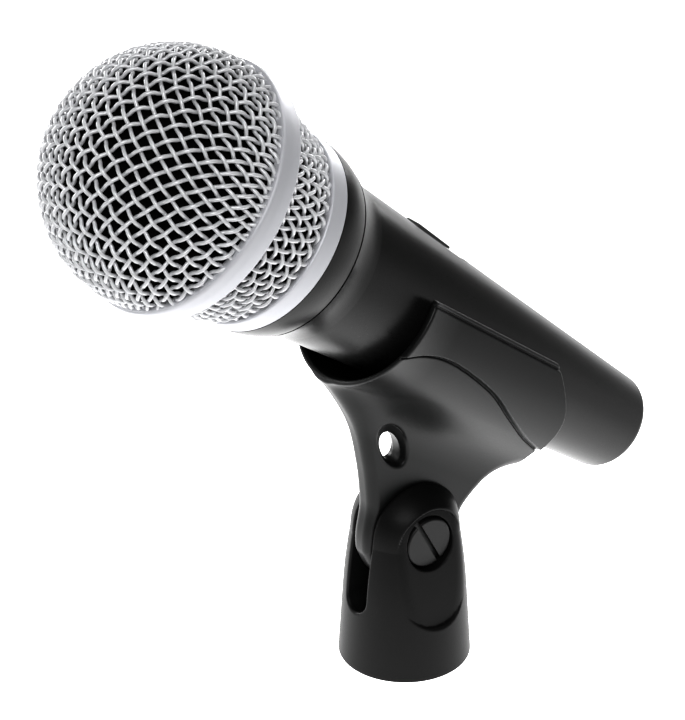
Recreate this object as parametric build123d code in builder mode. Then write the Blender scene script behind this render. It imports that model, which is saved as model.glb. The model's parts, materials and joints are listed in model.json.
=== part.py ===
from build123d import *

import os
from math import atan, cos, degrees, radians, sin

# A handheld dynamic microphone lying in its stand clip.
# Frame: origin at the centre of the stand adapter's mouth, +Z up along the thread,
# the microphone in the XZ plane with its ball towards -X, the pivot screw along Y
# with its head on the -Y side. Lengths are millimetres and angles are degrees.

# ---------------------------------------------------------------- driving dimensions
MIC_PITCH = 37.8          # microphone's axis above the horizontal
PIVOT_HEIGHT = 31.5       # tilt pivot above the adapter's mouth
MIC_ABOVE_PIVOT = 41.9    # microphone's axis from the pivot, square to the axis
TIP_AHEAD = 129.7         # ball's tip ahead of the pivot, along the microphone
BALL_RADIUS = 27.2
MIC_LENGTH = 170.0
RUNNING_GAP = 0.05        # radial clearance of a shaft or thread that turns
FREE_GAP = 0.3            # clearance of parts that only pass each other

# Head: distances behind the ball's tip, and radii.
WIRE_LAYER = 1.7
DOME_DEPTH = 26.4
DOME_RADIUS = 26.7
BAND_FRONT = 27.9
BAND_REAR = 33.1
BAND_BORE = 24.9
BAND_ROUND = 0.7
SKIRT_REAR = 48.8
SKIRT_FRONT_RADIUS = 25.6
SKIRT_REAR_RADIUS = 21.2
RING_REAR = 53.0
RING_RADIUS = 21.5
RING_BORE = 19.3
RING_ROUND = 0.4
COLLAR_MIDDLE = (56.6, 20.95)
COLLAR_REAR = 60.2
COLLAR_REAR_RADIUS = 19.8
FOAM_OUT = 1.9            # foam's outer face inside the wire's outer face
FOAM_IN = 3.7
FOAM_REAR = 48.0

# Cartridge.
CASE_FRONT = 11.4
CASE_REAR = 34.0
CASE_RADIUS = 14.6
CASE_VENT = 4.0
NECK_REAR = 46.0
NECK_RADIUS = 12.4
CAP_FRONT = 9.0
CAP_ROUND = 1.0
CAP_HOLE_RADIUS = 1.8
CAP_HOLE_CIRCLE = 8.0
CAP_HOLE_COUNT = 6
DIAPHRAGM_AT = 12.9
DIAPHRAGM_RISE = 1.2
DIAPHRAGM_RADIUS = 12.6
COIL_TRAVEL = 0.2         # each way from rest
SEAT_GAP = 0.1            # left behind the diaphragm at the end of its travel
DIAPHRAGM_THICKNESS = 0.3
COIL_RADIUS = 6.2
COIL_WALL = 0.5
COIL_REAR = 17.6
POLE_FRONT = 14.2
MAGNET_FRONT = 17.4
MAGNET_REAR = 25.4
MAGNET_RADIUS = 5.2
YOKE_REAR = 28.2
YOKE_RADIUS = 10.5
YOKE_BORE = 8.6
MOUNT_FLANGE = 50.5
MOUNT_REAR = 59.0
MOUNT_RADIUS = 15.2
CHAMBER_RADIUS = 10.9
CHAMBER_WALL = 1.0
CHAMBER_REAR = 82.0

# Handle.
HANDLE_FRONT = 60.7
HANDLE_FRONT_RADIUS = 19.65
FLARE_REAR = 68.2
TAPER = 0.0623            # loss of radius per millimetre along the handle
TAPER_FROM = 88.0
TAPER_RADIUS = 16.27
WALL = 2.2
SPIGOT_FRONT = 53.2
SPIGOT_RADIUS = 18.15
SPIGOT_BORE = 16.3
BORE_STEP = (62.0, 66.0)
TAIL_ROUND = 1.75
SOCKET_RADIUS = 8.5
SOCKET_FLOOR = 147.6
MOUTH_BEVEL = 0.5
SHOULDER = 2.0
SHOULDER_BORE = 7.0

# Switch in the top of the handle. Heights are from the handle's top line.
SWITCH_AT = 93.4
PLATE_LENGTH = 22.0
PLATE_WIDTH = 7.0
PLATE_THICKNESS = 0.9
PLATE_FACE = -0.5
PLATE_GAP = 0.1
SWITCH_BODY_TOP = -3.6
SWITCH_BODY = (15.0, 7.0, 5.5)
SLIDER_SLOT = (8.4, 3.2)
SLIDER_STEM = (4.4, 2.6)
SLIDER_TRAVEL = 3.4
KNOB_LENGTH = 11.0
KNOB_WIDTH = 4.2
KNOB_FRONT_TOP = 0.55
KNOB_REAR_TOP = 0.35
KNOB_ROUND = 0.25
KNOB_GROOVE = (0.6, 2.6)
KNOB_GROOVE_DEPTH = 0.3
KNOB_GROOVE_PITCH = 1.5
KNOB_GROOVES = 5
SWITCH_SCREW_PITCH = 18.0
SWITCH_SCREW_RADIUS = 0.8
SWITCH_SCREW_HEAD = 1.4
DRIVER_SLOT = 0.4         # width of the slots in the small screws

# Transformer and leads.
CORE_FRONT = 112.0
CORE_LENGTH = 18.0
CORE_WIDTH = 14.0
CORE_HEIGHT = 12.0
CORE_WINDOW = (11.0, 2.6)
WINDING_WIDTH = 8.2
WINDING_ROUND = 1.0
LEAD_RADIUS = 0.6

# Connector.
PIN_RADIUS = 1.2
PIN_ROUND = 0.8
PIN_FRONT = 145.0
PIN_TIP = 164.5
PINS = ((3.3, 1.3), (-3.3, 1.3), (0.0, -3.6))
INSERT_RADIUS = 8.4
INSERT_REAR = 154.2
LUG = (3.0, 1.0)
LUG_REAR = 156.0
SET_SCREW_AT = 151.0
SET_SCREW_RADIUS = 1.2
SET_SCREW_LENGTH = 3.2
SET_SCREW_SLOT = 0.8      # depth of its slot

# Clip.
SADDLE_FRONT = 85.4
SADDLE_DROP = 1.6         # saddle's axis below the microphone's axis
SADDLE_CLEARANCE = 1.03   # saddle's bore over the handle, on radius
SADDLE_WALL = 1.45
SADDLE_FLARE_REAR = 96.0
LIP_RADIUS = 19.9
LIP_BORE = 18.6
PANEL_STEP = 0.6
PANEL_STEP_LINE = ((84, -9.6), (92, -5.8), (101, -4.7), (115, -6.2), (126, -9.3), (137, -12.0), (150, -13.6))
SADDLE_END = 150.0
OPEN_TOP = ((80.0, 4.7), (160.0, 6.7))
REAR_CUT = ((128.6, 8.0), (131.1, 5.75), (139.6, -3.05), (143.0, -12.0), (147.5, -20.0))
NECK_THICKNESS = 6.2
NECK_ROUND = 1.6
WEB_FRONT = ((-12.0, 30.0), (-12.3, 40.0), (-13.4, 51.0), (-16.0, 62.3))    # X and Z
WEB_FRONT_LEAN = (-0.62, 0.78)    # how its front edge meets the lip
WEB_REAR = ((20.3, 37.6), (14.6, 33.0), (11.2, 27.5))
WEB_REAR_LEAN = ((-0.85, -0.2), (-0.35, -0.94))
WEB_FOOT = (0.0, 24.0)
WEB_TOP = (91.4, -12.0)           # hidden in the saddle's wall
WEB_TAIL = (140.0, -12.0)
WEB_END = 145.6
TONGUE_RADIUS = 12.1
NECK_HOLE = (-6.5, 55.7)
NECK_HOLE_RADIUS = 3.9

# Stand adapter and its fasteners.
BASE_RADIUS = 14.92
ADAPTER_TAPER = 0.0646
EAR_RADIUS = 12.7         # ball about the pivot that rounds both ears
FORK_WIDTH = 6.8
FORK_FLOOR = 14.0
FLAT_AT_PIVOT = 9.3       # slanted flat from the centre plane, at the pivot's height
FLAT_SLOPE = 0.19
FLAT_RADIUS = 8.0
FLAT_BOTTOM = 17.5        # centre of the flat's lower round end
HEAD_RADIUS = 5.82
HEAD_FACE = 9.0
HEAD_SEAT = 6.4
HEAD_ROUND = 0.5
HEAD_RECESS_RADIUS = 6.35
COIN_SLOT = (1.1, 1.3)
COIN_SLOT_ANGLE = -61.6
SCREW_RADIUS = 2.45
SCREW_END = 8.6
NUT_ACROSS_FLATS = 8.0
NUT_FACES = (5.4, 9.0)
NUT_GAP = 0.1
WASHER_RADIUS = 6.0
WASHER_THICKNESS = 0.25
THREAD_RADIUS = 7.45
BRASS_RADIUS = 9.6
BRASS_HEIGHT = 12.2

# ---------------------------------------------------------------- derived geometry
COS = cos(radians(MIC_PITCH))
SIN = sin(radians(MIC_PITCH))
TOP_PITCH = MIC_PITCH + degrees(atan(TAPER))    # handle's top line below the horizontal
TOP_COS = cos(radians(TOP_PITCH))
TOP_SIN = sin(radians(TOP_PITCH))
TIP_X = MIC_ABOVE_PIVOT * SIN - TIP_AHEAD * COS
TIP_Z = PIVOT_HEIGHT + TIP_AHEAD * SIN + MIC_ABOVE_PIVOT * COS
TAILWARD = (COS, 0, -SIN)
FAR = 80.0                # beyond every section
DEEP = 8.0                # beyond every wall
OVERLAP = 0.4             # how far shapes that join or cut run into each other


def side(back, up):
    """X and Z of a point this far behind the ball's tip and above the microphone's axis."""
    return (TIP_X + back * COS + up * SIN, TIP_Z - back * SIN + up * COS)


def point(back, up=0.0, across=0.0):
    """The same point in space, moved across the microphone."""
    x, z = side(back, up)
    return (x, across, z)


def station(back):
    """A plane square to the microphone: its X is +Y, its Y is up, its Z runs to the tail."""
    return Plane(origin=point(back), x_dir=(0, 1, 0), z_dir=TAILWARD)


def above(back, up):
    """A plane along the microphone, facing up, at a height above its axis."""
    return Plane(origin=point(back, up), x_dir=TAILWARD, z_dir=(SIN, 0, COS))


def below(back, down):
    """A plane along the microphone, facing down, at a depth below its axis."""
    return Plane(origin=point(back, -down), x_dir=TAILWARD, z_dir=(-SIN, 0, -COS))


def handle_radius(back):
    """Outer radius of the handle's straight taper."""
    return TAPER_RADIUS - TAPER * (back - TAPER_FROM)


def on_top(back, height):
    """A plane along the handle's top line, facing up, at a height from that line."""
    x, z = side(back, handle_radius(back))
    start = (x + height * TOP_SIN, 0, z + height * TOP_COS)
    return Plane(origin=start, x_dir=(TOP_COS, 0, -TOP_SIN), z_dir=(TOP_SIN, 0, TOP_COS))


def saddle_bore(back):
    """Radius of the saddle's bore about its own axis."""
    return handle_radius(back) + SADDLE_CLEARANCE


def adapter_radius(height):
    """Outer radius of the stand adapter's straight taper."""
    return BASE_RADIUS - ADAPTER_TAPER * height


def flat_plane(facing):
    """The plane of an ear's slanted flat, its X along the slot and its Z out of the ear."""
    steep = (0, facing, FLAT_SLOPE)
    return Plane(origin=(0, facing * FLAT_AT_PIVOT, PIVOT_HEIGHT), x_dir=(1, 0, 0), z_dir=steep)


def ring_section(front, rear, inner, outer):
    """Half of a plain ring's section, between two distances and two radii."""
    with Locations(((front + rear) / 2, (inner + outer) / 2)):
        Rectangle(rear - front, outer - inner)


def outer_edges(piece):
    """The circular edges of largest radius on a turned piece."""
    round_edges = piece.edges().filter_by(GeomType.CIRCLE)
    return round_edges.group_by(SortBy.RADIUS)[-1]


def save(piece, name):
    """Labels a finished piece and writes it to its own file."""
    piece.part.label = name
    export_step(piece.part, f"parts/{name}.step")


MIC = Plane(origin=point(0), x_dir=TAILWARD, z_dir=(0, -1, 0))
MIC_AXIS = Axis(origin=point(0), direction=TAILWARD)
SADDLE_AXIS = Axis(origin=point(0, -SADDLE_DROP), direction=TAILWARD)

os.makedirs("parts", exist_ok=True)

# ---------------------------------------------------------------- head

# Front dome of the ball: the envelope of the woven wire.
with BuildPart() as grille_dome:
    with BuildSketch(MIC):
        with BuildLine():
            TangentArc((0, 0), (DOME_DEPTH, DOME_RADIUS), tangent=(0, 1))
            Polyline(
                (DOME_DEPTH, DOME_RADIUS),
                (BAND_FRONT, DOME_RADIUS),
                (BAND_FRONT, DOME_RADIUS - WIRE_LAYER),
                (DOME_DEPTH, DOME_RADIUS - WIRE_LAYER),
            )
            TangentArc((WIRE_LAYER, 0), (DOME_DEPTH, DOME_RADIUS - WIRE_LAYER), tangent=(0, 1))
            Line((WIRE_LAYER, 0), (0, 0))
        make_face()
    revolve(axis=MIC_AXIS)
save(grille_dome, "grille_dome")

# Band round the ball's largest section, with rolled edges.
with BuildPart() as grille_band:
    with BuildSketch(MIC):
        ring_section(BAND_FRONT, BAND_REAR, BAND_BORE, BALL_RADIUS)
    revolve(axis=MIC_AXIS)
    fillet(outer_edges(grille_band), BAND_ROUND)
save(grille_band, "grille_band")

# Woven skirt behind the band.
with BuildPart() as grille_skirt:
    with BuildSketch(MIC):
        with BuildLine():
            Polyline(
                (BAND_REAR, SKIRT_FRONT_RADIUS),
                (SKIRT_REAR, SKIRT_REAR_RADIUS),
                (SKIRT_REAR, SKIRT_REAR_RADIUS - WIRE_LAYER),
                (BAND_REAR, SKIRT_FRONT_RADIUS - WIRE_LAYER),
                close=True,
            )
        make_face()
    revolve(axis=MIC_AXIS)
save(grille_skirt, "grille_skirt")

# Narrow ring that holds the skirt's rear edge.
with BuildPart() as grille_ring:
    with BuildSketch(MIC):
        ring_section(SKIRT_REAR, RING_REAR, RING_BORE, RING_RADIUS)
    revolve(axis=MIC_AXIS)
    fillet(outer_edges(grille_ring), RING_ROUND)
save(grille_ring, "grille_ring")

# Dark collar, threaded inside, that screws onto the handle's spigot.
with BuildPart() as name_ring:
    with BuildSketch(MIC):
        with BuildLine():
            Spline((RING_REAR, RING_RADIUS), COLLAR_MIDDLE, (COLLAR_REAR, COLLAR_REAR_RADIUS))
            Polyline(
                (COLLAR_REAR, COLLAR_REAR_RADIUS),
                (COLLAR_REAR, SPIGOT_RADIUS + RUNNING_GAP),
                (RING_REAR, SPIGOT_RADIUS + RUNNING_GAP),
                (RING_REAR, RING_RADIUS),
            )
        make_face()
    revolve(axis=MIC_AXIS)
save(name_ring, "name_ring")

# Foam that lines the dome, the band and the skirt.
with BuildPart() as foam_liner:
    with BuildSketch(MIC):
        with BuildLine():
            TangentArc((FOAM_OUT, 0), (DOME_DEPTH, DOME_RADIUS - FOAM_OUT), tangent=(0, 1))
            Polyline(
                (DOME_DEPTH, DOME_RADIUS - FOAM_OUT),
                (BAND_REAR, SKIRT_FRONT_RADIUS - FOAM_OUT),
                (FOAM_REAR, SKIRT_REAR_RADIUS - FOAM_OUT),
                (FOAM_REAR, SKIRT_REAR_RADIUS - FOAM_IN),
                (BAND_REAR, SKIRT_FRONT_RADIUS - FOAM_IN),
                (DOME_DEPTH, DOME_RADIUS - FOAM_IN),
            )
            TangentArc((FOAM_IN, 0), (DOME_DEPTH, DOME_RADIUS - FOAM_IN), tangent=(0, 1))
            Line((FOAM_IN, 0), (FOAM_OUT, 0))
        make_face()
    revolve(axis=MIC_AXIS)
save(foam_liner, "foam_liner")

# ---------------------------------------------------------------- cartridge

# Perforated cap in front of the diaphragm.
with BuildPart() as resonator_cap:
    with BuildSketch(MIC):
        ring_section(CAP_FRONT, CASE_FRONT, 0, CASE_RADIUS)
    revolve(axis=MIC_AXIS)
    fillet(outer_edges(resonator_cap).sort_by(MIC_AXIS)[0], CAP_ROUND)
    with Locations(station(CASE_FRONT)):
        with PolarLocations(CAP_HOLE_CIRCLE, CAP_HOLE_COUNT):
            Hole(CAP_HOLE_RADIUS)
        Hole(CAP_HOLE_RADIUS)
save(resonator_cap, "resonator_cap")

# Thin diaphragm, a dome with a flat surround.
with BuildPart() as diaphragm:
    with BuildSketch(MIC):
        front = DIAPHRAGM_AT
        rear = DIAPHRAGM_AT + DIAPHRAGM_THICKNESS
        with BuildLine():
            TangentArc((front - DIAPHRAGM_RISE, 0), (front, COIL_RADIUS), tangent=(0, 1))
            Polyline(
                (front, COIL_RADIUS),
                (front, DIAPHRAGM_RADIUS),
                (rear, DIAPHRAGM_RADIUS),
                (rear, COIL_RADIUS),
            )
            TangentArc((rear - DIAPHRAGM_RISE, 0), (rear, COIL_RADIUS), tangent=(0, 1))
            Line((rear - DIAPHRAGM_RISE, 0), (front - DIAPHRAGM_RISE, 0))
        make_face()
    revolve(axis=MIC_AXIS)
save(diaphragm, "diaphragm")

# Voice coil, fixed to the diaphragm and free in the magnet's gap.
with BuildPart() as voice_coil:
    with BuildSketch(MIC):
        ring_section(rear, COIL_REAR, COIL_RADIUS - COIL_WALL / 2, COIL_RADIUS + COIL_WALL / 2)
    revolve(axis=MIC_AXIS)
save(voice_coil, "voice_coil")

with BuildPart() as pole_piece:
    with BuildSketch(MIC):
        ring_section(POLE_FRONT, MAGNET_FRONT, 0, COIL_RADIUS - COIL_WALL / 2 - FREE_GAP)
    revolve(axis=MIC_AXIS)
save(pole_piece, "pole_piece")

with BuildPart() as magnet:
    with BuildSketch(MIC):
        ring_section(MAGNET_FRONT, MAGNET_REAR, 0, MAGNET_RADIUS)
    revolve(axis=MIC_AXIS)
save(magnet, "magnet")

# Iron pot round the magnet. Its top plate leaves the coil's gap.
with BuildPart() as magnet_yoke:
    with BuildSketch(MIC):
        ring_section(MAGNET_REAR, YOKE_REAR, 0, YOKE_RADIUS)
        ring_section(MAGNET_FRONT, MAGNET_REAR, YOKE_BORE, YOKE_RADIUS)
        gap_radius = COIL_RADIUS + COIL_WALL / 2 + FREE_GAP
        ring_section(POLE_FRONT, MAGNET_FRONT, gap_radius, YOKE_RADIUS)
    revolve(axis=MIC_AXIS)
save(magnet_yoke, "magnet_yoke")

# Moulded case that carries the diaphragm and the pot, with a neck at the back.
with BuildPart() as cartridge_case:
    with BuildSketch(MIC):
        seat = rear + COIL_TRAVEL + SEAT_GAP
        ring_section(CASE_FRONT, seat, DIAPHRAGM_RADIUS + FREE_GAP, CASE_RADIUS)
        ring_section(seat, YOKE_REAR, YOKE_RADIUS, CASE_RADIUS)
        ring_section(YOKE_REAR, CASE_REAR, CASE_VENT, CASE_RADIUS)
        ring_section(CASE_REAR, NECK_REAR, CHAMBER_RADIUS + RUNNING_GAP, NECK_RADIUS)
    revolve(axis=MIC_AXIS)
save(cartridge_case, "cartridge_case")

# Rubber mount between the case's neck and the handle's spigot.
with BuildPart() as shock_mount:
    with BuildSketch(MIC):
        ring_section(CASE_REAR, MOUNT_FLANGE, NECK_RADIUS, MOUNT_RADIUS)
        ring_section(MOUNT_FLANGE, SPIGOT_FRONT, NECK_RADIUS, SPIGOT_RADIUS - FREE_GAP)
        ring_section(SPIGOT_FRONT, MOUNT_REAR, NECK_RADIUS, SPIGOT_BORE - RUNNING_GAP)
    revolve(axis=MIC_AXIS)
save(shock_mount, "shock_mount")

# Closed air chamber behind the cartridge.
with BuildPart() as rear_chamber:
    with BuildSketch(MIC):
        ring_section(CASE_REAR, CHAMBER_REAR, CHAMBER_RADIUS - CHAMBER_WALL, CHAMBER_RADIUS)
        ring_section(CHAMBER_REAR - CHAMBER_WALL, CHAMBER_REAR, 0, CHAMBER_RADIUS)
    revolve(axis=MIC_AXIS)
save(rear_chamber, "rear_chamber")

# ---------------------------------------------------------------- handle

# Tapered shell with a threaded spigot in front and the connector's bore in the tail.
with BuildPart() as handle_shell:
    with BuildSketch(MIC):
        flare_end = (FLARE_REAR, handle_radius(FLARE_REAR))
        taper_end = (MIC_LENGTH - TAIL_ROUND, handle_radius(MIC_LENGTH - TAIL_ROUND))
        tail_corner = (MIC_LENGTH, taper_end[1] - TAIL_ROUND)
        with BuildLine():
            Polyline(
                (SPIGOT_FRONT, SPIGOT_RADIUS),
                (HANDLE_FRONT, SPIGOT_RADIUS),
                (HANDLE_FRONT, HANDLE_FRONT_RADIUS),
            )
            TangentArc(flare_end, (HANDLE_FRONT, HANDLE_FRONT_RADIUS), tangent=(-1, TAPER))
            Line(flare_end, taper_end)
            TangentArc(taper_end, tail_corner, tangent=(1, -TAPER))
            Polyline(
                tail_corner,
                (MIC_LENGTH, SOCKET_RADIUS + MOUTH_BEVEL),
                (MIC_LENGTH - MOUTH_BEVEL, SOCKET_RADIUS),
                (SOCKET_FLOOR, SOCKET_RADIUS),
                (SOCKET_FLOOR, SHOULDER_BORE),
                (SOCKET_FLOOR - SHOULDER, SHOULDER_BORE),
                (SOCKET_FLOOR - SHOULDER, handle_radius(SOCKET_FLOOR - SHOULDER) - WALL),
                (BORE_STEP[1], handle_radius(BORE_STEP[1]) - WALL),
                (BORE_STEP[0], SPIGOT_BORE),
                (SPIGOT_FRONT, SPIGOT_BORE),
                (SPIGOT_FRONT, SPIGOT_RADIUS),
            )
        make_face()
    revolve(axis=MIC_AXIS)
    # Recess for the switch plate, the slider's slot and the screws' holes.
    with BuildSketch(on_top(SWITCH_AT, PLATE_FACE - PLATE_THICKNESS)):
        SlotOverall(PLATE_LENGTH + 2 * PLATE_GAP, PLATE_WIDTH + 2 * PLATE_GAP)
    extrude(amount=DEEP, mode=Mode.SUBTRACT)
    with BuildSketch(on_top(SWITCH_AT, SWITCH_BODY_TOP)):
        Rectangle(*SLIDER_SLOT)
        with GridLocations(SWITCH_SCREW_PITCH, 1, 2, 1):
            Circle(SWITCH_SCREW_RADIUS)
    extrude(amount=DEEP, mode=Mode.SUBTRACT)
    # Tapped hole under the tail for the insert's set screw.
    with BuildSketch(below(SET_SCREW_AT, SOCKET_RADIUS - 1)):
        Circle(SET_SCREW_RADIUS)
    extrude(amount=DEEP, mode=Mode.SUBTRACT)
save(handle_shell, "handle_shell")

# ---------------------------------------------------------------- switch

with BuildPart() as switch_plate:
    with BuildSketch(on_top(SWITCH_AT, PLATE_FACE - PLATE_THICKNESS)):
        SlotOverall(PLATE_LENGTH, PLATE_WIDTH)
        Rectangle(*SLIDER_SLOT, mode=Mode.SUBTRACT)
        with GridLocations(SWITCH_SCREW_PITCH, 1, 2, 1):
            Circle(SWITCH_SCREW_HEAD, mode=Mode.SUBTRACT)
    extrude(amount=PLATE_THICKNESS)
save(switch_plate, "switch_plate")

# Thumb slider: a long grooved knob on a stem that reaches the contacts.
slider_top = on_top(SWITCH_AT - SLIDER_TRAVEL / 2, 0)
with BuildPart() as switch_slider:
    knob_base = PLATE_FACE + FREE_GAP
    with BuildSketch(slider_top.offset(SWITCH_BODY_TOP)):
        Rectangle(*SLIDER_STEM)
    extrude(amount=knob_base - SWITCH_BODY_TOP)
    with BuildSketch(Plane(origin=slider_top.origin, x_dir=slider_top.x_dir, z_dir=(0, -1, 0))):
        with BuildLine():
            Polyline(
                (-KNOB_LENGTH / 2, knob_base),
                (-KNOB_LENGTH / 2, KNOB_FRONT_TOP),
                (KNOB_LENGTH / 2, KNOB_REAR_TOP),
                (KNOB_LENGTH / 2, knob_base),
                close=True,
            )
        make_face()
    extrude(amount=KNOB_WIDTH / 2, both=True)
    fillet(switch_slider.faces().sort_by(Axis(slider_top.origin, slider_top.z_dir))[-1].edges(), KNOB_ROUND)
    with BuildSketch(slider_top.offset(KNOB_REAR_TOP - KNOB_GROOVE_DEPTH)):
        with GridLocations(KNOB_GROOVE_PITCH, 1, KNOB_GROOVES, 1):
            Rectangle(*KNOB_GROOVE)
    extrude(amount=DEEP, mode=Mode.SUBTRACT)
save(switch_slider, "switch_slider")

with BuildPart() as switch_body:
    with BuildSketch(on_top(SWITCH_AT, SWITCH_BODY_TOP - SWITCH_BODY[2])):
        Rectangle(SWITCH_BODY[0], SWITCH_BODY[1])
    extrude(amount=SWITCH_BODY[2])
save(switch_body, "switch_body")

# Two screws that hold the plate and the switch.
with BuildPart() as switch_screws:
    head_base = PLATE_FACE - PLATE_THICKNESS
    with BuildSketch(on_top(SWITCH_AT, head_base)):
        with GridLocations(SWITCH_SCREW_PITCH, 1, 2, 1):
            Circle(SWITCH_SCREW_HEAD)
    extrude(amount=PLATE_THICKNESS)
    with BuildSketch(on_top(SWITCH_AT, SWITCH_BODY_TOP)):
        with GridLocations(SWITCH_SCREW_PITCH, 1, 2, 1):
            Circle(SWITCH_SCREW_RADIUS)
    extrude(amount=head_base - SWITCH_BODY_TOP)
    with BuildSketch(on_top(SWITCH_AT, PLATE_FACE - PLATE_THICKNESS / 2)):
        with GridLocations(SWITCH_SCREW_PITCH, 1, 2, 1):
            Rectangle(2 * SWITCH_SCREW_HEAD, DRIVER_SLOT)
            Rectangle(DRIVER_SLOT, 2 * SWITCH_SCREW_HEAD)
    extrude(amount=PLATE_THICKNESS, mode=Mode.SUBTRACT)
save(switch_screws, "switch_screws")

# ---------------------------------------------------------------- transformer and leads

# Laminated core, with a window on each side of its middle leg.
with BuildPart() as transformer_core:
    with BuildSketch(station(CORE_FRONT)):
        Rectangle(CORE_WIDTH, CORE_HEIGHT)
    extrude(amount=CORE_LENGTH)
    with BuildSketch(above(CORE_FRONT + CORE_LENGTH / 2, -CORE_HEIGHT / 2)):
        with GridLocations(1, WINDING_WIDTH - CORE_WINDOW[1], 1, 2):
            Rectangle(*CORE_WINDOW)
    extrude(amount=CORE_HEIGHT, mode=Mode.SUBTRACT)
save(transformer_core, "transformer_core")

# Winding round the middle leg, through both windows.
with BuildPart() as transformer_winding:
    leg = WINDING_WIDTH - 2 * CORE_WINDOW[1]
    bulge = CORE_HEIGHT + 2 * CORE_WINDOW[1]
    with BuildSketch(station(CORE_FRONT + (CORE_LENGTH - CORE_WINDOW[0]) / 2)):
        Rectangle(WINDING_WIDTH, bulge)
        Rectangle(leg, CORE_HEIGHT, mode=Mode.SUBTRACT)
    extrude(amount=CORE_WINDOW[0])
    long_edges = transformer_winding.edges().filter_by(MIC_AXIS)
    fillet(long_edges.group_by(SortBy.DISTANCE)[-1], WINDING_ROUND)
save(transformer_winding, "transformer_winding")

# Two leads from the chamber to the transformer, and two on to the connector.
with BuildPart() as signal_leads:
    with BuildSketch(station(CHAMBER_REAR)):
        with Locations(PINS[0], PINS[1]):
            Circle(LEAD_RADIUS)
    extrude(amount=CORE_FRONT - CHAMBER_REAR)
    with BuildSketch(station(CORE_FRONT + CORE_LENGTH)):
        with Locations(PINS[0], PINS[1]):
            Circle(LEAD_RADIUS)
    extrude(amount=PIN_FRONT - CORE_FRONT - CORE_LENGTH)
save(signal_leads, "signal_leads")

# ---------------------------------------------------------------- connector

# Moulded insert that carries the pins, notched for the ground lug.
with BuildPart() as xlr_insert:
    with BuildSketch(station(SOCKET_FLOOR)):
        Circle(INSERT_RADIUS)
        with Locations(*PINS):
            Circle(PIN_RADIUS, mode=Mode.SUBTRACT)
        with Locations((0, INSERT_RADIUS)):
            Rectangle(LUG[0], 2 * LUG[1], mode=Mode.SUBTRACT)
    extrude(amount=INSERT_REAR - SOCKET_FLOOR)
save(xlr_insert, "xlr_insert")

# Three contact pins with rounded tips.
with BuildPart() as xlr_pins:
    with BuildSketch(station(PIN_FRONT)):
        with Locations(*PINS):
            Circle(PIN_RADIUS)
    extrude(amount=PIN_TIP - PIN_FRONT)
    fillet(xlr_pins.edges().group_by(MIC_AXIS)[-1], PIN_ROUND)
save(xlr_pins, "xlr_pins")

with BuildPart() as xlr_ground_lug:
    with BuildSketch(station(SOCKET_FLOOR)):
        Circle(INSERT_RADIUS)
        with Locations((0, INSERT_RADIUS)):
            Rectangle(LUG[0], 2 * LUG[1], mode=Mode.INTERSECT)
    extrude(amount=LUG_REAR - SOCKET_FLOOR)
save(xlr_ground_lug, "xlr_ground_lug")

with BuildPart() as xlr_set_screw:
    with BuildSketch(below(SET_SCREW_AT, INSERT_RADIUS)):
        Circle(SET_SCREW_RADIUS - RUNNING_GAP)
    extrude(amount=SET_SCREW_LENGTH)
    with BuildSketch(below(SET_SCREW_AT, INSERT_RADIUS + SET_SCREW_LENGTH - SET_SCREW_SLOT)):
        Rectangle(DRIVER_SLOT, 2 * SET_SCREW_RADIUS)
    extrude(amount=SET_SCREW_SLOT, mode=Mode.SUBTRACT)
save(xlr_set_screw, "xlr_set_screw")

# ---------------------------------------------------------------- clip

# Raised side panels of the saddle, above an S-shaped step. They become part of the clip.
with BuildPart() as side_panels:
    panel_front = saddle_bore(SADDLE_FRONT) + SADDLE_WALL + PANEL_STEP - SADDLE_DROP
    panel_rear = saddle_bore(SADDLE_END) + SADDLE_WALL + PANEL_STEP - SADDLE_DROP
    with BuildSketch(MIC):
        with BuildLine():
            Polyline(
                (SADDLE_FRONT, -SADDLE_DROP),
                (SADDLE_FRONT, panel_front),
                (SADDLE_END, panel_rear),
                (SADDLE_END, -SADDLE_DROP),
                close=True,
            )
        make_face()
    revolve(axis=SADDLE_AXIS)
    with BuildSketch(MIC):
        with BuildLine():
            Spline(*PANEL_STEP_LINE)
            Polyline(
                PANEL_STEP_LINE[-1],
                (PANEL_STEP_LINE[-1][0], FAR),
                (PANEL_STEP_LINE[0][0], FAR),
                PANEL_STEP_LINE[0],
            )
        make_face()
    extrude(amount=FAR, both=True, mode=Mode.INTERSECT)

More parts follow.
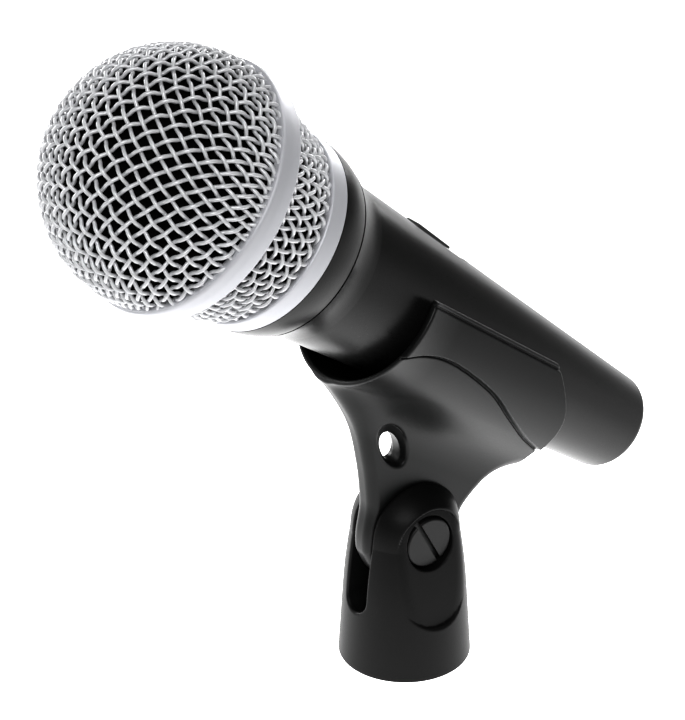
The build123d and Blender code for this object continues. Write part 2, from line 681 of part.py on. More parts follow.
# Saddle, neck and tongue, moulded as one piece.
with BuildPart() as clip_body:
    # Neck and tongue: a flat web that widens up to the saddle's front and rear.
    with BuildSketch(Plane.XZ):
        with BuildLine():
            front_top = side(SADDLE_FRONT + OVERLAP, OVERLAP - LIP_RADIUS - SADDLE_DROP)
            rear_top = side(WEB_END, -handle_radius(WEB_END) - SADDLE_DROP - SADDLE_WALL)
            Spline(*WEB_FRONT, front_top, tangents=((0, 1), WEB_FRONT_LEAN))
            Polyline(front_top, side(*WEB_TOP), side(*WEB_TAIL), rear_top)
            Spline(rear_top, *WEB_REAR, tangents=WEB_REAR_LEAN)
            Polyline(WEB_REAR[-1], WEB_FOOT, WEB_FRONT[0])
        make_face()
        with Locations((0, PIVOT_HEIGHT)):
            Circle(TONGUE_RADIUS)
    extrude(amount=NECK_THICKNESS / 2, both=True)
    fillet(clip_body.edges().filter_by(Axis.Y, reverse=True), NECK_ROUND)
    # Saddle's outside: a straight taper with a flared front lip.
    with BuildSketch(MIC):
        with BuildLine():
            lip = (SADDLE_FRONT, LIP_RADIUS - SADDLE_DROP)
            flare = (SADDLE_FLARE_REAR, saddle_bore(SADDLE_FLARE_REAR) + SADDLE_WALL - SADDLE_DROP)
            last = (SADDLE_END, saddle_bore(SADDLE_END) + SADDLE_WALL - SADDLE_DROP)
            Line(lip, (SADDLE_FRONT, -SADDLE_DROP))
            Line((SADDLE_FRONT, -SADDLE_DROP), (last[0], -SADDLE_DROP))
            Line((last[0], -SADDLE_DROP), last)
            Line(last, flare)
            TangentArc(flare, lip, tangent=(-1, TAPER))
        make_face()
    revolve(axis=SADDLE_AXIS)
    add(side_panels.part)
    # Bore, flared in front.
    with BuildSketch(MIC):
        with BuildLine():
            mouth = (SADDLE_FRONT - OVERLAP, LIP_BORE + OVERLAP / 2 - SADDLE_DROP)
            throat = (SADDLE_FLARE_REAR, saddle_bore(SADDLE_FLARE_REAR) - SADDLE_DROP)
            end = (SADDLE_END + DEEP, saddle_bore(SADDLE_END + DEEP) - SADDLE_DROP)
            Line(mouth, (mouth[0], -SADDLE_DROP))
            Line((mouth[0], -SADDLE_DROP), (end[0], -SADDLE_DROP))
            Line((end[0], -SADDLE_DROP), end)
            Line(end, throat)
            TangentArc(throat, mouth, tangent=(-1, TAPER))
        make_face()
    revolve(axis=SADDLE_AXIS, mode=Mode.SUBTRACT)
    # Open top, and the slanted rear end.
    with BuildSketch(MIC):
        with BuildLine():
            Polyline(
                OPEN_TOP[0],
                OPEN_TOP[1],
                (OPEN_TOP[1][0], FAR),
                (OPEN_TOP[0][0], FAR),
                close=True,
            )
        make_face()
        with BuildLine():
            Spline(*REAR_CUT)
            Polyline(
                REAR_CUT[-1],
                (SADDLE_END + FAR, REAR_CUT[-1][1]),
                (SADDLE_END + FAR, FAR),
                (REAR_CUT[0][0], FAR),
                REAR_CUT[0],
            )
        make_face()
    extrude(amount=FAR, both=True, mode=Mode.SUBTRACT)
    # Hole through the neck, and the pivot's bore.
    with BuildSketch(Plane.XZ):
        with Locations(NECK_HOLE):
            Circle(NECK_HOLE_RADIUS)
        with Locations((0, PIVOT_HEIGHT)):
            Circle(SCREW_RADIUS + RUNNING_GAP)
    extrude(amount=FAR, both=True, mode=Mode.SUBTRACT)
save(clip_body, "clip_body")

# ---------------------------------------------------------------- stand adapter

# What the adapter keeps: everything below the pivot, and a ball above it.
with BuildPart() as ear_envelope:
    with Locations((0, 0, PIVOT_HEIGHT)):
        Sphere(EAR_RADIUS)
    with Locations((0, 0, PIVOT_HEIGHT / 2)):
        Box(FAR, FAR, PIVOT_HEIGHT)

# What is cut away outside each ear's slanted flat: a round-ended pocket seen along the screw.
flat_pockets = []
for facing in (-1, 1):
    with BuildPart() as flat_pocket:
        with BuildSketch(Plane.XZ):
            with Locations((0, (PIVOT_HEIGHT + FLAT_BOTTOM) / 2)):
                SlotCenterToCenter(PIVOT_HEIGHT - FLAT_BOTTOM, 2 * FLAT_RADIUS, rotation=90)
        extrude(amount=-facing * FAR)
        split(bisect_by=flat_plane(facing), keep=Keep.TOP)
    flat_pockets.append(flat_pocket.part)

# Tapered fork with two rounded ears and a slanted flat on each.
with BuildPart() as stand_adapter:
    with BuildSketch(Plane.XY):
        Circle(BASE_RADIUS)
    with BuildSketch(Plane.XY.offset(PIVOT_HEIGHT + EAR_RADIUS)):
        Circle(adapter_radius(PIVOT_HEIGHT + EAR_RADIUS))
    loft()
    add(ear_envelope.part, mode=Mode.INTERSECT)
    # Slot for the tongue, with a round floor.
    with BuildSketch(Plane.YZ):
        with Locations((0, FORK_FLOOR + FORK_WIDTH / 2)):
            Circle(FORK_WIDTH / 2)
        with Locations((0, FORK_FLOOR + FORK_WIDTH / 2 + FAR / 2)):
            Rectangle(FORK_WIDTH, FAR)
    extrude(amount=FAR, both=True, mode=Mode.SUBTRACT)
    add(flat_pockets, mode=Mode.SUBTRACT)
    # Pivot bore, round recess for the screw's head and hexagonal recess for the nut.
    with BuildSketch(Plane.XZ.offset(-FAR)):
        with Locations((0, PIVOT_HEIGHT)):
            Circle(SCREW_RADIUS + RUNNING_GAP)
    extrude(amount=2 * FAR, mode=Mode.SUBTRACT)
    with BuildSketch(Plane.XZ.offset(HEAD_SEAT)):
        with Locations((0, PIVOT_HEIGHT)):
            Circle(HEAD_RECESS_RADIUS)
    extrude(amount=DEEP, mode=Mode.SUBTRACT)
    with BuildSketch(Plane.XZ.offset(-NUT_FACES[0])):
        with Locations((0, PIVOT_HEIGHT)):
            RegularPolygon(NUT_ACROSS_FLATS / 2 + NUT_GAP, 6, major_radius=False)
    extrude(amount=-DEEP, mode=Mode.SUBTRACT)
    # Blind bore for the brass insert.
    with BuildSketch(Plane.XY):
        Circle(BRASS_RADIUS)
    extrude(amount=BRASS_HEIGHT, mode=Mode.SUBTRACT)
save(stand_adapter, "stand_adapter")

# Brass insert with the stand's thread.
with BuildPart() as thread_insert:
    with BuildSketch(Plane.XY):
        Circle(BRASS_RADIUS)
        Circle(THREAD_RADIUS, mode=Mode.SUBTRACT)
    extrude(amount=BRASS_HEIGHT)
save(thread_insert, "thread_insert")

# Slotted pivot screw, its head in the ear on the -Y side.
with BuildPart() as pivot_screw:
    with BuildSketch(Plane.XZ.offset(HEAD_SEAT)):
        with Locations((0, PIVOT_HEIGHT)):
            Circle(HEAD_RADIUS)
    extrude(amount=HEAD_FACE - HEAD_SEAT)
    fillet(pivot_screw.edges().sort_by(Axis.Y)[0], HEAD_ROUND)
    with BuildSketch(Plane.XZ.offset(HEAD_SEAT)):
        with Locations((0, PIVOT_HEIGHT)):
            Circle(SCREW_RADIUS)
    extrude(amount=-HEAD_SEAT - SCREW_END)
    with BuildSketch(Plane.XZ.offset(HEAD_FACE - COIN_SLOT[1])):
        with Locations(Location((0, PIVOT_HEIGHT), COIN_SLOT_ANGLE)):
            Rectangle(3 * HEAD_RADIUS, COIN_SLOT[0])
    extrude(amount=DEEP, mode=Mode.SUBTRACT)
save(pivot_screw, "pivot_screw")

with BuildPart() as pivot_nut:
    with BuildSketch(Plane.XZ.offset(-NUT_FACES[0])):
        with Locations((0, PIVOT_HEIGHT)):
            RegularPolygon(NUT_ACROSS_FLATS / 2, 6, major_radius=False)
            Circle(SCREW_RADIUS + RUNNING_GAP, mode=Mode.SUBTRACT)
    extrude(amount=NUT_FACES[0] - NUT_FACES[1])
save(pivot_nut, "pivot_nut")

# Two friction washers, one on each face of the tongue.
with BuildPart() as friction_washers:
    for tongue_face in (NECK_THICKNESS / 2, -NECK_THICKNESS / 2 - WASHER_THICKNESS):
        with BuildSketch(Plane.XZ.offset(tongue_face)):
            with Locations((0, PIVOT_HEIGHT)):
                Circle(WASHER_RADIUS)
                Circle(SCREW_RADIUS + RUNNING_GAP, mode=Mode.SUBTRACT)
        extrude(amount=WASHER_THICKNESS)
save(friction_washers, "friction_washers")
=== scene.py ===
# Looks of a handheld dynamic microphone in its stand clip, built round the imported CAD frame.
# Lengths inside the makers are millimetres; every mesh is written in metres, in the CAD frame.
import json
from math import cos, pi, radians, sin

import bmesh
import bpy
import numpy as np
from mathutils import Matrix, Vector


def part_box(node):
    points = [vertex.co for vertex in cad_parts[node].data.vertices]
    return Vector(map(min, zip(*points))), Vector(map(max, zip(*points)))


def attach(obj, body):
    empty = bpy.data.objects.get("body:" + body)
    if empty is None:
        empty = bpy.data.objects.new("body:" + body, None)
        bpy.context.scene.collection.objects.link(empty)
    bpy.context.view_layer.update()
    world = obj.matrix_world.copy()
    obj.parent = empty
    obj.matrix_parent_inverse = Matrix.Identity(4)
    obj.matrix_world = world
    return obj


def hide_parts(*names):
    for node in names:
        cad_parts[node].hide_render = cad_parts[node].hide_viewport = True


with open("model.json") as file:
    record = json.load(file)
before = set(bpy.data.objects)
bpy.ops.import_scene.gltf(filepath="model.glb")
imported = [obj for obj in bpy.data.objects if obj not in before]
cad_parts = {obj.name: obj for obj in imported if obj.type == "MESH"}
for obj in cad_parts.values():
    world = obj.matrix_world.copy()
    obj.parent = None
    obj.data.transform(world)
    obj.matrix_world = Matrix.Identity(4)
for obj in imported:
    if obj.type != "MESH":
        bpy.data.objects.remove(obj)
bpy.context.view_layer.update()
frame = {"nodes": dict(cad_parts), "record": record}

MM = 0.001

# ---------------------------------------------------------------- the microphone's own axes

mounts = {mount["name"]: mount for mount in frame["record"]["mounts"]}
MOUTH = np.array(mounts["xlr_socket"]["pos_m"]) / MM
TAIL = np.array(mounts["xlr_socket"]["axis"])
TAIL = TAIL / np.linalg.norm(TAIL)
ACROSS = np.array((0.0, 1.0, 0.0))
UP = np.cross(TAIL, ACROSS)


def node_points(node):
    """Vertices of a CAD node in millimetres."""
    mesh = frame["nodes"][node].data
    points = np.zeros(len(mesh.vertices) * 3)
    mesh.vertices.foreach_get("co", points)
    return points.reshape(-1, 3) / MM


TIP = MOUTH + TAIL * ((node_points("grille_dome") - MOUTH) @ TAIL).min()


def along(node):
    """Where a CAD node starts and ends, behind the ball's tip."""
    back = (node_points(node) - TIP) @ TAIL
    return back.min(), back.max()


def reach(node):
    """The largest radius of a CAD node about the microphone's axis."""
    offset = node_points(node) - TIP
    offset = offset - np.outer(offset @ TAIL, TAIL)
    return np.linalg.norm(offset, axis=1).max()


def in_frame(local):
    """Points given as distance behind the tip, height above the axis and distance across."""
    return TIP + local[..., 0:1] * TAIL + local[..., 1:2] * UP + local[..., 2:3] * ACROSS


def in_mic(x, y, z):
    """Distance behind the ball's tip and height above the microphone's axis."""
    back = (x - TIP[0]) * TAIL[0] + (z - TIP[2]) * TAIL[2]
    up = (x - TIP[0]) * UP[0] + (z - TIP[2]) * UP[2]
    return back, up


BAND_FRONT, BAND_REAR = along("grille_band")
RING_FRONT, RING_REAR = along("grille_ring")
BALL_RADIUS = reach("grille_band")
RING_RADIUS = reach("grille_ring")

# ---------------------------------------------------------------- materials


def finish(name, colour, roughness, metallic=0.0, mottle=0.0, mottle_size=0.004, grain=0.0,
           grain_size=0.0004, coat=0.0, specular=0.5, cells=False):
    """A procedural finish: a base colour with soft mottling and a fine grain in gloss and bump."""
    material = bpy.data.materials.new(name)
    material.use_nodes = True
    nodes = material.node_tree.nodes
    link = material.node_tree.links.new
    shader = nodes["Principled BSDF"]
    shader.inputs["Metallic"].default_value = metallic
    shader.inputs["Specular IOR Level"].default_value = specular
    shader.inputs["Coat Weight"].default_value = coat
    shader.inputs["Coat Roughness"].default_value = 0.2
    place = nodes.new("ShaderNodeTexCoord")

    broad = nodes.new("ShaderNodeTexNoise")
    broad.inputs["Scale"].default_value = 1 / mottle_size
    broad.inputs["Detail"].default_value = 3
    link(place.outputs["Object"], broad.inputs["Vector"])
    tint = nodes.new("ShaderNodeMix")
    tint.data_type = "RGBA"
    tint.inputs["A"].default_value = (*[c * (1 - mottle) for c in colour], 1)
    tint.inputs["B"].default_value = (*[min(1, c * (1 + mottle)) for c in colour], 1)
    link(broad.outputs["Fac"], tint.inputs["Factor"])
    link(tint.outputs["Result"], shader.inputs["Base Color"])

    fine = nodes.new("ShaderNodeTexVoronoi" if cells else "ShaderNodeTexNoise")
    fine.inputs["Scale"].default_value = 1 / grain_size
    link(place.outputs["Object"], fine.inputs["Vector"])
    fine_value = fine.outputs["Distance" if cells else "Fac"]
    gloss = nodes.new("ShaderNodeMapRange")
    gloss.inputs["To Min"].default_value = roughness - 0.06
    gloss.inputs["To Max"].default_value = min(1.0, roughness + 0.06)
    link(fine_value, gloss.inputs["Value"])
    link(gloss.outputs["Result"], shader.inputs["Roughness"])
    bump = nodes.new("ShaderNodeBump")
    bump.inputs["Strength"].default_value = grain
    bump.inputs["Distance"].default_value = grain_size / 4
    link(fine_value, bump.inputs["Height"])
    link(bump.outputs["Normal"], shader.inputs["Normal"])
    return material


FINISHES = {
    "grille_wire": finish("grille_wire", (0.78, 0.785, 0.8), 0.4, metallic=0.3, mottle=0.06,
                          mottle_size=0.002, grain=0.25, grain_size=0.0002),
    "silver_paint": finish("silver_paint", (0.64, 0.645, 0.675), 0.45, metallic=0.25, mottle=0.02,
                           grain=0.12, grain_size=0.00015),
    "charcoal_enamel": finish("charcoal_enamel", (0.009, 0.009, 0.009), 0.3, mottle=0.1,
                              grain=0.15, grain_size=0.0003, specular=0.32),
    "black_foam": finish("black_foam", (0.003, 0.003, 0.003), 0.95, mottle=0.3, mottle_size=0.001,
                         grain=1.0, grain_size=0.0006, specular=0.05, cells=True),
    "black_plastic": finish("black_plastic", (0.02, 0.02, 0.02), 0.42, mottle=0.1, grain=0.2),
    "clear_film": finish("clear_film", (0.55, 0.5, 0.4), 0.12, mottle=0.05, grain=0.05),
    "copper": finish("copper", (0.72, 0.33, 0.16), 0.3, metallic=1.0, mottle=0.1, grain=0.3),
    "iron": finish("iron", (0.32, 0.32, 0.33), 0.45, metallic=1.0, mottle=0.15, grain=0.3),
    "magnet": finish("magnet", (0.5, 0.5, 0.52), 0.3, metallic=1.0, mottle=0.05, grain=0.1),
    "rubber": finish("rubber", (0.025, 0.025, 0.025), 0.75, mottle=0.1, grain=0.3, specular=0.3),
    "lead_sleeve": finish("lead_sleeve", (0.42, 0.04, 0.03), 0.5, mottle=0.08, grain=0.1),
    "black_steel": finish("black_steel", (0.02, 0.02, 0.021), 0.3, metallic=0.6, mottle=0.1,
                          grain=0.15),
    "pin_plating": finish("pin_plating", (0.78, 0.75, 0.68), 0.22, metallic=1.0, mottle=0.04,
                          grain=0.05),
    "clip_plastic": finish("clip_plastic", (0.007, 0.0073, 0.0073), 0.36, mottle=0.08, grain=0.15,
                           grain_size=0.00035, specular=0.32),
    "adapter_plastic": finish("adapter_plastic", (0.006, 0.006, 0.006), 0.42, mottle=0.1,
                              grain=0.2, grain_size=0.0003, specular=0.16),
    "screw_plastic": finish("screw_plastic", (0.008, 0.008, 0.008), 0.38, mottle=0.1, grain=0.15,
                            specular=0.3),
    "brass": finish("brass", (0.72, 0.52, 0.24), 0.26, metallic=1.0, mottle=0.08, grain=0.15),
    "washer_fibre": finish("washer_fibre", (0.07, 0.055, 0.045), 0.85, mottle=0.3, grain=0.8),
}

for part in frame["record"]["subparts"]:
    cad_mesh = frame["nodes"][part["node"]].data
    cad_mesh.materials.clear()
    cad_mesh.materials.append(FINISHES[part["material_slot"]])

# ---------------------------------------------------------------- mesh helpers


def new_piece(name, points, faces, body, slot, replaced=(), sharp=40):
    """A smooth piece from points in millimetres, riding on a body in place of CAD nodes."""
    mesh = bpy.data.meshes.new(name)
    mesh.from_pydata((points * MM).tolist(), [], faces)
    mesh.materials.append(FINISHES[slot])
    mesh.polygons.foreach_set("use_smooth", [True] * len(mesh.polygons))
    mesh.set_sharp_from_angle(angle=radians(sharp))
    piece = bpy.data.objects.new(name, mesh)
    bpy.context.scene.collection.objects.link(piece)
    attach(piece, body)
    if replaced:
        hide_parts(*replaced)
    return piece


def turn_outward(piece):
    """Makes every face of a closed piece look outwards."""
    shape = bmesh.new()
    shape.from_mesh(piece.data)
    bmesh.ops.recalc_face_normals(shape, faces=shape.faces)
    shape.to_mesh(piece.data)
    shape.free()


def rounded(corners, steps=5):
    """A closed section whose corners, each (back, radius, rounding), are turned into short curves."""
    section = []
    count = len(corners)
    for i, corner in enumerate(corners):
        here = np.array(corner[:2])
        if corner[2] == 0:
            section.append(here)
            continue
        start = np.array(corners[i - 1][:2]) - here
        end = np.array(corners[(i + 1) % count][:2]) - here
        start = here + start * corner[2] / np.linalg.norm(start)
        end = here + end * corner[2] / np.linalg.norm(end)
        for t in np.linspace(0, 1, steps):
            section.append((1 - t) ** 2 * start + 2 * t * (1 - t) * here + t ** 2 * end)
    return np.array(section)


def lathe(name, section, body, slot, replaced=(), turns=256):
    """A closed section of (back, radius) points turned about the microphone's axis."""
    angle = np.linspace(0, 2 * pi, turns, endpoint=False)[:, None]
    back = np.broadcast_to(section[:, 0], (turns, len(section)))
    local = np.stack((back, section[:, 1] * np.cos(angle), section[:, 1] * np.sin(angle)), axis=-1)
    index = np.arange(local[..., 0].size).reshape(turns, -1)
    next_turn = np.roll(index, -1, axis=0)
    faces = np.stack((index, np.roll(index, -1, axis=1), np.roll(next_turn, -1, axis=1), next_turn), axis=-1)
    points = in_frame(local.reshape(-1, 3))
    piece = new_piece(name, points, faces.reshape(-1, 4).tolist(), body, slot, replaced)
    turn_outward(piece)
    return piece


# ---------------------------------------------------------------- woven wire

WIRE_RADIUS = 0.4
WIRE_LIFT = 0.48           # how far a wire rises and dips at each crossing
MESH_PITCH = 0.1031        # side of a cell, as an angle at the ball's centre
DOME_CENTRE = 26.7         # ball's centre behind its tip
DOME_WIRE_RADIUS = 25.85
DOME_TURN = 33.1
DOME_SHIFT = (-0.27, 0.645)
CELLS_OUT = 20
SAMPLES = 8                # points along a wire for each cell
WAVE_POWER = 0.75          # below 1, a wire stays longer on top and underneath
PAST_EQUATOR = -0.3        # lowest height on the unit ball to which the net is worked out
FEWEST_CROSSINGS = 4       # a shorter wire is left out
HIDDEN_IN_BAND = 0.3       # length of the ball's wires inside the band


def draped_net(turn, shift, pitch):
    """Crossings of a net with equal-sided cells draped over a unit ball whose pole is +x.

    Two wires cross near the pole. Every other crossing closes a cell of four equal sides, so the
    cells are square at the pole and shear into diamonds towards the equator between the wires."""
    first = np.array((0, sin(turn), cos(turn)))
    second = np.array((0, cos(turn), -sin(turn)))
    start = np.array((1.0, 0, 0)) + pitch * (shift[0] * first + shift[1] * second)
    start = start / np.linalg.norm(start)
    first = first - (first @ start) * start
    first = first / np.linalg.norm(first)
    second = np.cross(first, start)
    step = np.arange(-CELLS_OUT, CELLS_OUT + 1)[:, None] * pitch
    net = np.full((2 * CELLS_OUT + 1, 2 * CELLS_OUT + 1, 3), np.nan)
    net[:, CELLS_OUT] = np.cos(step) * start + np.sin(step) * first
    net[CELLS_OUT, :] = np.cos(step) * start + np.sin(step) * second
    for side_i in (-1, 1):
        for side_j in (-1, 1):
            for ring in range(2, 2 * CELLS_OUT + 1):
                i = np.arange(max(1, ring - CELLS_OUT), min(CELLS_OUT, ring - 1) + 1)
                j = ring - i
                row, column = CELLS_OUT + side_i * i, CELLS_OUT + side_j * j
                left = net[row - side_i, column]
                below = net[row, column - side_j]
                corner = net[row - side_i, column - side_j]
                mirror = np.cross(left, below)
                mirror = mirror / np.linalg.norm(mirror, axis=1, keepdims=True)
                opposite = corner - 2 * np.sum(corner * mirror, axis=1, keepdims=True) * mirror
                opposite[opposite[:, 0] < PAST_EQUATOR] = np.nan
                net[row, column] = opposite
    return net


def wires_of(net):
    """Each wire of a net as directions from the ball's centre with the wire's lift, sample by sample."""
    for family in range(2):
        crossings = net if family == 0 else net.swapaxes(0, 1)
        for line in range(crossings.shape[1]):
            nodes = crossings[:, line]
            known = np.flatnonzero(np.isfinite(nodes[:, 0]))
            if len(known) < FEWEST_CROSSINGS:
                continue
            nodes = nodes[known[0]:known[-1] + 1]
            t = np.arange(0, len(nodes) - 1, 1 / SAMPLES)
            cell = t.astype(int)
            share = (t - cell)[:, None]
            around = [nodes[np.clip(cell + k, 0, len(nodes) - 1)] for k in (-1, 0, 1, 2)]
            direction = 0.5 * (
                2 * around[1]
                + (around[2] - around[0]) * share
                + (2 * around[0] - 5 * around[1] + 4 * around[2] - around[3]) * share ** 2
                + (3 * around[1] - around[0] - 3 * around[2] + around[3]) * share ** 3
            )
            direction = direction / np.linalg.norm(direction, axis=1, keepdims=True)
            start_sign = -1 if (family + line + known[0]) % 2 else 1
            wave = np.cos(pi * t)
            yield direction, start_sign * np.sign(wave) * np.abs(wave) ** WAVE_POWER


def runs(inside):
    """Start and end of each stretch of True values."""
    edges = np.flatnonzero(np.diff(np.concatenate(([0], inside.astype(int), [0]))))
    return edges.reshape(-1, 2)


def tubes(paths, sides=8):
    """Points and faces of round wires, each path a pair of centres and outward normals."""
    points, faces = [], []
    total = 0
    angle = np.linspace(0, 2 * pi, sides, endpoint=False)
    for centre, outward in paths:
        heading = np.gradient(centre, axis=0)
        heading = heading / np.linalg.norm(heading, axis=1, keepdims=True)
        outward = outward - np.sum(outward * heading, axis=1, keepdims=True) * heading
        outward = outward / np.linalg.norm(outward, axis=1, keepdims=True)
        sideways = np.cross(heading, outward)
        rings = (centre[:, None] + WIRE_RADIUS * (np.cos(angle)[None, :, None] * outward[:, None]
                                                  + np.sin(angle)[None, :, None] * sideways[:, None]))
        points.append(rings.reshape(-1, 3))
        index = total + np.arange(len(centre) * sides).reshape(-1, sides)
        turned = np.roll(index, -1, axis=1)
        quads = np.stack((index[:-1], turned[:-1], turned[1:], index[1:]), axis=-1)
        faces.extend(quads.reshape(-1, 4).tolist())
        faces.append(index[0][::-1].tolist())
        faces.append(index[-1].tolist())
        total += len(centre) * sides
    return np.concatenate(points), faces


def dome_paths():
    """The wires of the ball's front, which end inside the band."""
    for direction, lift in wires_of(draped_net(radians(DOME_TURN), DOME_SHIFT, MESH_PITCH)):
        local = direction * (DOME_WIRE_RADIUS + WIRE_LIFT * lift)[:, None]
        local = local * (-1, 1, 1) + (DOME_CENTRE, 0, 0)
        for start, end in runs(local[:, 0] < BAND_FRONT + HIDDEN_IN_BAND):
            if end - start > 2:
                centre = in_frame(local[start:end])
                outward = in_frame((direction * (-1, 1, 1))[start:end]) - TIP
                yield centre, outward


SKIRT_CENTRE = 32.6        # centre of the ball that the rear cup was drawn over
SKIRT_BALL = 26.2          # that ball's radius
SKIRT_TURN = 23.82
SKIRT_SHIFT = (0.1017, 0.797)
SKIRT_PITCH = 0.1077
SKIRT_FRONT_RADIUS = 24.8  # wire's middle at the band, and at the ring
SKIRT_REAR_RADIUS = 20.4
SKIRT_TUCK = 1.4           # length over which the wires turn in under the ring
SKIRT_TUCK_DEPTH = 0.8
SKIRT_HIDDEN = (0.6, 0.4)  # length of the cup's wires inside the band, and inside the ring
MESH_OUTSIDE = 0.8         # from the middle of the wires to the mesh's outside


def skirt_paths():
    """The wires of the cup behind the band, which is drawn over a ball from the handle's side."""
    reach_back = RING_FRONT - BAND_REAR
    for direction, lift in wires_of(draped_net(radians(SKIRT_TURN), SKIRT_SHIFT, SKIRT_PITCH)):
        back = SKIRT_CENTRE + direction[:, 0] * SKIRT_BALL
        share = (back - BAND_REAR) / reach_back
        tuck = np.clip((back - RING_FRONT + SKIRT_TUCK) / SKIRT_TUCK, 0, 2)
        radius = SKIRT_FRONT_RADIUS + share * (SKIRT_REAR_RADIUS - SKIRT_FRONT_RADIUS)
        radius = radius + WIRE_LIFT * lift - SKIRT_TUCK_DEPTH * tuck ** 2
        flat = direction[:, 1:] / np.linalg.norm(direction[:, 1:], axis=1, keepdims=True)
        local = np.column_stack((back, flat * radius[:, None]))
        level = np.column_stack((np.zeros(len(back)), flat))
        kept = (back > BAND_REAR - SKIRT_HIDDEN[0]) & (back < RING_FRONT + SKIRT_HIDDEN[1])
        for start, end in runs(kept):
            if end - start > 2:
                yield in_frame(local[start:end]), in_frame(level[start:end]) - TIP


new_piece("ball_mesh", *tubes(dome_paths()), "grille", "grille_wire", ["grille_dome"], 60)
new_piece("skirt_mesh", *tubes(skirt_paths()), "grille", "grille_wire", ["grille_skirt"], 60)

# ---------------------------------------------------------------- rings and foam

SHEET_DEPTH = 2.2          # depth of both rolled rings

ring_section = rounded([
    (RING_FRONT, RING_RADIUS - SHEET_DEPTH, 0.3),
    (RING_FRONT, RING_RADIUS - 0.1, 0.5),
    (RING_REAR, RING_RADIUS, 0.35),
    (RING_REAR, RING_RADIUS - SHEET_DEPTH, 0.3),
])
band_section = rounded([
    (BAND_FRONT, BALL_RADIUS - SHEET_DEPTH, 0.3),
    (BAND_FRONT, BALL_RADIUS - 0.35, 0.4),
    (BAND_FRONT + 0.5, BALL_RADIUS - 0.05, 0.4),
    (BAND_FRONT + 2.6, BALL_RADIUS, 0.5),
    (BAND_REAR, BALL_RADIUS - 0.25, 0.5),
    (BAND_REAR, BALL_RADIUS - SHEET_DEPTH, 0.3),
])
lathe("grille_ring_rolled", ring_section, "grille", "silver_paint", ["grille_ring"])
lathe("grille_band_rolled", band_section, "grille", "silver_paint", ["grille_band"])

FOAM_DEPTH = 2.2           # from the wires' outside to the foam
FOAM_THICKNESS = 1.7
FOAM_END = 0.7             # from the foam's end to the ring
AXIS_GAP = 0.02            # keeps the section's points off the axis


def foam_line(depth):
    """Radius of the foam's surface at a depth below the mesh, from the tip back."""
    front = np.linspace(0, pi / 2, 40)
    dome = np.column_stack((DOME_CENTRE - (DOME_CENTRE - depth) * np.cos(front),
                            (DOME_CENTRE - depth) * np.sin(front)))
    rear = [(BAND_REAR, SKIRT_FRONT_RADIUS + MESH_OUTSIDE - depth),
            (RING_FRONT - FOAM_END, SKIRT_REAR_RADIUS + MESH_OUTSIDE - depth)]
    return np.concatenate((dome, rear))


foam_section = np.concatenate((foam_line(FOAM_DEPTH), foam_line(FOAM_DEPTH + FOAM_THICKNESS)[::-1]))
foam_section[:, 1] = np.maximum(foam_section[:, 1], AXIS_GAP)
foam = lathe("foam_lining", foam_section, "grille", "black_foam", ["foam_liner"], turns=96)

# ---------------------------------------------------------------- moulded parts

GRID = 0.3
NORMAL_STEP = 0.03         # offset of the samples that give a field's slope
LEAST_STEEPNESS = 0.2      # keeps the points still where a field is nearly flat
LAYER_ROWS = 12            # rows of the grid worked out at a time


def smooth_max(a, b, width):
    """The larger of two distances, with the edge between them rounded."""
    overlap = np.maximum(width - np.abs(a - b), 0) / width
    return np.maximum(a, b) + overlap * overlap * width / 4


def smooth_min(a, b, width):
    """The smaller of two distances, with the corner between them filleted."""
    return -smooth_max(-a, -b, width)


def ease(t):
    """A soft step from 0 to 1."""
    t = np.clip(t, 0, 1)
    return t * t * (3 - 2 * t)


def curve_through(points, steps=10):
    """A smooth line through a few points."""
    points = np.array(points, float)
    padded = np.concatenate(([2 * points[0] - points[1]], points, [2 * points[-1] - points[-2]]))
    line = [points[0]]
    for a, b, c, d in zip(padded, padded[1:], padded[2:], padded[3:]):
        for t in np.linspace(0, 1, steps + 1)[1:]:
            line.append(0.5 * (2 * b + (c - a) * t + (2 * a - 5 * b + 4 * c - d) * t ** 2
                               + (3 * b - a - 3 * c + d) * t ** 3))
    return np.array(line)


def outline_distance(x, z, outline):
    """Distance to a closed outline, negative inside it."""
    nearest = np.full(np.broadcast(x, z).shape, 1e6)
    inside = np.zeros(nearest.shape, bool)
    for (ax, az), (bx, bz) in zip(outline, np.roll(outline, -1, axis=0)):
        ex, ez = bx - ax, bz - az
        t = np.clip(((x - ax) * ex + (z - az) * ez) / (ex * ex + ez * ez), 0, 1)
        nearest = np.minimum(nearest, (x - ax - t * ex) ** 2 + (z - az - t * ez) ** 2)
        if ez != 0:
            inside ^= ((az > z) != (bz > z)) & (x < ax + (z - az) * ex / ez)
    return np.where(inside, -1, 1) * np.sqrt(nearest)


def rounded_slab(outline, thick, rounding):
    """A flat outline given a thickness, with its rim rounded."""
    a = outline + rounding
    b = thick + rounding
    return np.hypot(np.maximum(a, 0), np.maximum(b, 0)) + np.minimum(np.maximum(a, b), 0) - rounding


def slope_of(field, points):
    """A field's value and gradient at points."""
    total = 0
    gradient = np.zeros(points.shape)
    for corner in ((1, 1, 1), (1, -1, -1), (-1, 1, -1), (-1, -1, 1)):
        value = field(*(points + NORMAL_STEP * np.array(corner)).T)
        gradient += value[:, None] * np.array(corner)
        total = total + value
    return total / 4, gradient / (4 * NORMAL_STEP)


